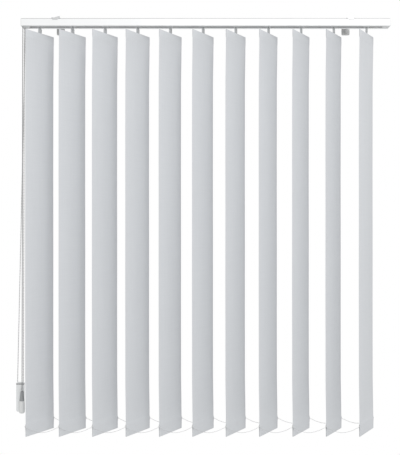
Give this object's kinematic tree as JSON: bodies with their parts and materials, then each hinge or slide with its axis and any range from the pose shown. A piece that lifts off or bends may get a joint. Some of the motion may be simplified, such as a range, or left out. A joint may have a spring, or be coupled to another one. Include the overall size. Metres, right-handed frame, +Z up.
{
  "type": "vertical blind",
  "caption": "Fabric vertical blind on an aluminium headrail, tilted by a bead chain and drawn aside by a weighted cord.",
  "frame": {"origin": "centre of the four wall screws, on the wall's surface", "axes": "+Z up, +X along the headrail to the right as seen from the room, +Y into the wall"},
  "size_m": [1.316, 0.1265, 1.4595],
  "materials": {
    "white_aluminium": "satin white powder coat",
    "white_plastic": "moulded white",
    "grey_plastic": "moulded pale grey",
    "clear_plastic": "pale smooth",
    "slat_fabric": "plain stiffened weave",
    "chain_plastic": "moulded beads",
    "cord": "braided cord",
    "rod_aluminium": "mill extrusion",
    "bracket_steel": "zinc plated"
  },
  "bodies": {
    "rail": {"headrail": "white_aluminium", "control_end_cap": "white_plastic", "return_end_cap": "white_plastic", "wall_brackets": "bracket_steel", "rail_clips": "bracket_steel", "carrier_1": "white_plastic", "bead_chain": "chain_plastic", "traverse_cord": "cord", "chain_weight": "clear_plastic", "cord_weight": "white_plastic"},
    "rod": {"tilt_rod": "rod_aluminium", "chain_sprocket": "white_plastic"},
    "return_pulley": {"return_pulley": "white_plastic"},
    "chain_wheel": {"chain_weight_wheel": "white_plastic"},
    "cord_pulley": {"cord_weight_pulley": "white_plastic"},
    "front_chain": {"bottom_chain_front": "chain_plastic"},
    "rear_chain": {"bottom_chain_rear": "chain_plastic"},
    "worm_1": {"worm_1": "white_plastic"},
    "slat_1": {"hook_1": "grey_plastic", "slat_1": "slat_fabric"},
    "carrier_2": {"carrier_2": "white_plastic"},
    "worm_2": {"worm_2": "white_plastic"},
    "slat_2": {"hook_2": "grey_plastic", "slat_2": "slat_fabric"},
    "carrier_3": {"carrier_3": "white_plastic"},
    "worm_3": {"worm_3": "white_plastic"},
    "slat_3": {"hook_3": "grey_plastic", "slat_3": "slat_fabric"},
    "carrier_4": {"carrier_4": "white_plastic"},
    "worm_4": {"worm_4": "white_plastic"},
    "slat_4": {"hook_4": "grey_plastic", "slat_4": "slat_fabric"},
    "carrier_5": {"carrier_5": "white_plastic"},
    "worm_5": {"worm_5": "white_plastic"},
    "slat_5": {"hook_5": "grey_plastic", "slat_5": "slat_fabric"},
    "carrier_6": {"carrier_6": "white_plastic"},
    "worm_6": {"worm_6": "white_plastic"},
    "slat_6": {"hook_6": "grey_plastic", "slat_6": "slat_fabric"},
    "carrier_7": {"carrier_7": "white_plastic"},
    "worm_7": {"worm_7": "white_plastic"},
    "slat_7": {"hook_7": "grey_plastic", "slat_7": "slat_fabric"},
    "carrier_8": {"carrier_8": "white_plastic"},
    "worm_8": {"worm_8": "white_plastic"},
    "slat_8": {"hook_8": "grey_plastic", "slat_8": "slat_fabric"},
    "carrier_9": {"carrier_9": "white_plastic"},
    "worm_9": {"worm_9": "white_plastic"},
    "slat_9": {"hook_9": "grey_plastic", "slat_9": "slat_fabric"},
    "carrier_10": {"carrier_10": "white_plastic"},
    "worm_10": {"worm_10": "white_plastic"},
    "slat_10": {"hook_10": "grey_plastic", "slat_10": "slat_fabric"},
    "carrier_11": {"carrier_11": "white_plastic"},
    "worm_11": {"worm_11": "white_plastic"},
    "slat_11": {"hook_11": "grey_plastic", "slat_11": "slat_fabric"}
  },
  "joints": [
    {"name": "tilt", "type": "hinge", "parent": "rail", "child": "slat_1", "pos_m": [-0.575, -0.07, 0], "axis": [0, 0, 1], "range_deg": [-38.5, 109.5]},
    {"name": "traverse", "type": "slide", "parent": "rail", "child": "carrier_11", "axis": [-1, 0, 0], "range_m": [0, 0.94], "deforming": ["bottom_chain_front", "bottom_chain_rear"]},
    {"name": "carrier_2_slide", "type": "slide", "parent": "rail", "child": "carrier_2", "axis": [-1, 0, 0], "range_m": [0, 0.094]},
    {"name": "carrier_3_slide", "type": "slide", "parent": "rail", "child": "carrier_3", "axis": [-1, 0, 0], "range_m": [0, 0.188]},
    {"name": "carrier_4_slide", "type": "slide", "parent": "rail", "child": "carrier_4", "axis": [-1, 0, 0], "range_m": [0, 0.282]},
    {"name": "carrier_5_slide", "type": "slide", "parent": "rail", "child": "carrier_5", "axis": [-1, 0, 0], "range_m": [0, 0.376]},
    {"name": "carrier_6_slide", "type": "slide", "parent": "rail", "child": "carrier_6", "axis": [-1, 0, 0], "range_m": [0, 0.47]},
    {"name": "carrier_7_slide", "type": "slide", "parent": "rail", "child": "carrier_7", "axis": [-1, 0, 0], "range_m": [0, 0.564]},
    {"name": "carrier_8_slide", "type": "slide", "parent": "rail", "child": "carrier_8", "axis": [-1, 0, 0], "range_m": [0, 0.658]},
    {"name": "carrier_9_slide", "type": "slide", "parent": "rail", "child": "carrier_9", "axis": [-1, 0, 0], "range_m": [0, 0.752]},
    {"name": "carrier_10_slide", "type": "slide", "parent": "rail", "child": "carrier_10", "axis": [-1, 0, 0], "range_m": [0, 0.846]},
    {"name": "slat_2_turn", "type": "hinge", "parent": "carrier_2", "child": "slat_2", "pos_m": [-0.46, -0.07, 0], "axis": [0, 0, 1], "range_deg": [-38.5, 109.5]},
    {"name": "slat_3_turn", "type": "hinge", "parent": "carrier_3", "child": "slat_3", "pos_m": [-0.345, -0.07, 0], "axis": [0, 0, 1], "range_deg": [-38.5, 109.5]},
    {"name": "slat_4_turn", "type": "hinge", "parent": "carrier_4", "child": "slat_4", "pos_m": [-0.23, -0.07, 0], "axis": [0, 0, 1], "range_deg": [-38.5, 109.5]},
    {"name": "slat_5_turn", "type": "hinge", "parent": "carrier_5", "child": "slat_5", "pos_m": [-0.115, -0.07, 0], "axis": [0, 0, 1], "range_deg": [-38.5, 109.5]},
    {"name": "slat_6_turn", "type": "hinge", "parent": "carrier_6", "child": "slat_6", "pos_m": [0, -0.07, 0], "axis": [0, 0, 1], "range_deg": [-38.5, 109.5]},
    {"name": "slat_7_turn", "type": "hinge", "parent": "carrier_7", "child": "slat_7", "pos_m": [0.115, -0.07, 0], "axis": [0, 0, 1], "range_deg": [-38.5, 109.5]},
    {"name": "slat_8_turn", "type": "hinge", "parent": "carrier_8", "child": "slat_8", "pos_m": [0.23, -0.07, 0], "axis": [0, 0, 1], "range_deg": [-38.5, 109.5]},
    {"name": "slat_9_turn", "type": "hinge", "parent": "carrier_9", "child": "slat_9", "pos_m": [0.345, -0.07, 0], "axis": [0, 0, 1], "range_deg": [-38.5, 109.5]},
    {"name": "slat_10_turn", "type": "hinge", "parent": "carrier_10", "child": "slat_10", "pos_m": [0.46, -0.07, 0], "axis": [0, 0, 1], "range_deg": [-38.5, 109.5]},
    {"name": "slat_11_turn", "type": "hinge", "parent": "carrier_11", "child": "slat_11", "pos_m": [0.575, -0.07, 0], "axis": [0, 0, 1], "range_deg": [-38.5, 109.5]},
    {"name": "rod_turn", "type": "hinge", "parent": "rail", "child": "rod", "pos_m": [0, -0.0605, 0.001], "axis": [1, 0, 0], "range_deg": [-192.5, 547.5]},
    {"name": "worm_1_turn", "type": "hinge", "parent": "rail", "child": "worm_1", "pos_m": [-0.575, -0.0605, 0.001], "axis": [1, 0, 0], "range_deg": [-192.5, 547.5]},
    {"name": "worm_2_turn", "type": "hinge", "parent": "carrier_2", "child": "worm_2", "pos_m": [-0.46, -0.0605, 0.001], "axis": [1, 0, 0], "range_deg": [-192.5, 547.5]},
    {"name": "worm_3_turn", "type": "hinge", "parent": "carrier_3", "child": "worm_3", "pos_m": [-0.345, -0.0605, 0.001], "axis": [1, 0, 0], "range_deg": [-192.5, 547.5]},
    {"name": "worm_4_turn", "type": "hinge", "parent": "carrier_4", "child": "worm_4", "pos_m": [-0.23, -0.0605, 0.001], "axis": [1, 0, 0], "range_deg": [-192.5, 547.5]},
    {"name": "worm_5_turn", "type": "hinge", "parent": "carrier_5", "child": "worm_5", "pos_m": [-0.115, -0.0605, 0.001], "axis": [1, 0, 0], "range_deg": [-192.5, 547.5]},
    {"name": "worm_6_turn", "type": "hinge", "parent": "carrier_6", "child": "worm_6", "pos_m": [0, -0.0605, 0.001], "axis": [1, 0, 0], "range_deg": [-192.5, 547.5]},
    {"name": "worm_7_turn", "type": "hinge", "parent": "carrier_7", "child": "worm_7", "pos_m": [0.115, -0.0605, 0.001], "axis": [1, 0, 0], "range_deg": [-192.5, 547.5]},
    {"name": "worm_8_turn", "type": "hinge", "parent": "carrier_8", "child": "worm_8", "pos_m": [0.23, -0.0605, 0.001], "axis": [1, 0, 0], "range_deg": [-192.5, 547.5]},
    {"name": "worm_9_turn", "type": "hinge", "parent": "carrier_9", "child": "worm_9", "pos_m": [0.345, -0.0605, 0.001], "axis": [1, 0, 0], "range_deg": [-192.5, 547.5]},
    {"name": "worm_10_turn", "type": "hinge", "parent": "carrier_10", "child": "worm_10", "pos_m": [0.46, -0.0605, 0.001], "axis": [1, 0, 0], "range_deg": [-192.5, 547.5]},
    {"name": "worm_11_turn", "type": "hinge", "parent": "carrier_11", "child": "worm_11", "pos_m": [0.575, -0.0605, 0.001], "axis": [1, 0, 0], "range_deg": [-192.5, 547.5]},
    {"name": "chain_wheel_turn", "type": "hinge", "parent": "rail", "child": "chain_wheel", "pos_m": [-0.6465, -0.061, -1.281], "axis": [0, 1, 0], "range_deg": [-286.8, 100.84]},
    {"name": "return_pulley_turn", "type": "hinge", "parent": "rail", "child": "return_pulley", "pos_m": [0.641, -0.079, 0.009], "axis": [0, 0, 1], "range_deg": [0, 10772]},
    {"name": "cord_pulley_turn", "type": "hinge", "parent": "rail", "child": "cord_pulley", "pos_m": [-0.637, -0.075, -1.313], "axis": [1, 0, 0], "range_deg": [0, 17953]},
    {"name": "front_chain_turn", "type": "hinge", "parent": "slat_1", "child": "front_chain", "pos_m": [-0.61449, -0.12536, -1.4], "axis": [0, 0, 1], "range_deg": [-109.5, 38.5]},
    {"name": "rear_chain_turn", "type": "hinge", "parent": "slat_1", "child": "rear_chain", "pos_m": [-0.53551, -0.01464, -1.4], "axis": [0, 0, 1], "range_deg": [-109.5, 38.5]}
  ],
  "couplings": [
    {"joint": "carrier_2_slide", "follows": "traverse", "ratio": 0.1},
    {"joint": "carrier_3_slide", "follows": "traverse", "ratio": 0.2},
    {"joint": "carrier_4_slide", "follows": "traverse", "ratio": 0.3},
    {"joint": "carrier_5_slide", "follows": "traverse", "ratio": 0.4},
    {"joint": "carrier_6_slide", "follows": "traverse", "ratio": 0.5},
    {"joint": "carrier_7_slide", "follows": "traverse", "ratio": 0.6},
    {"joint": "carrier_8_slide", "follows": "traverse", "ratio": 0.7},
    {"joint": "carrier_9_slide", "follows": "traverse", "ratio": 0.8},
    {"joint": "carrier_10_slide", "follows": "traverse", "ratio": 0.9},
    {"joint": "slat_2_turn", "follows": "tilt", "ratio": 1},
    {"joint": "slat_3_turn", "follows": "tilt", "ratio": 1},
    {"joint": "slat_4_turn", "follows": "tilt", "ratio": 1},
    {"joint": "slat_5_turn", "follows": "tilt", "ratio": 1},
    {"joint": "slat_6_turn", "follows": "tilt", "ratio": 1},
    {"joint": "slat_7_turn", "follows": "tilt", "ratio": 1},
    {"joint": "slat_8_turn", "follows": "tilt", "ratio": 1},
    {"joint": "slat_9_turn", "follows": "tilt", "ratio": 1},
    {"joint": "slat_10_turn", "follows": "tilt", "ratio": 1},
    {"joint": "slat_11_turn", "follows": "tilt", "ratio": 1},
    {"joint": "rod_turn", "follows": "tilt", "ratio": 5},
    {"joint": "worm_1_turn", "follows": "tilt", "ratio": 5},
    {"joint": "worm_2_turn", "follows": "tilt", "ratio": 5},
    {"joint": "worm_3_turn", "follows": "tilt", "ratio": 5},
    {"joint": "worm_4_turn", "follows": "tilt", "ratio": 5},
    {"joint": "worm_5_turn", "follows": "tilt", "ratio": 5},
    {"joint": "worm_6_turn", "follows": "tilt", "ratio": 5},
    {"joint": "worm_7_turn", "follows": "tilt", "ratio": 5},
    {"joint": "worm_8_turn", "follows": "tilt", "ratio": 5},
    {"joint": "worm_9_turn", "follows": "tilt", "ratio": 5},
    {"joint": "worm_10_turn", "follows": "tilt", "ratio": 5},
    {"joint": "worm_11_turn", "follows": "tilt", "ratio": 5},
    {"joint": "chain_wheel_turn", "follows": "tilt", "ratio": -2.619},
    {"joint": "return_pulley_turn", "follows": "traverse", "rad_per_m": 200},
    {"joint": "cord_pulley_turn", "follows": "traverse", "rad_per_m": 333.33},
    {"joint": "front_chain_turn", "follows": "tilt", "ratio": -1},
    {"joint": "rear_chain_turn", "follows": "tilt", "ratio": -1}
  ]
}
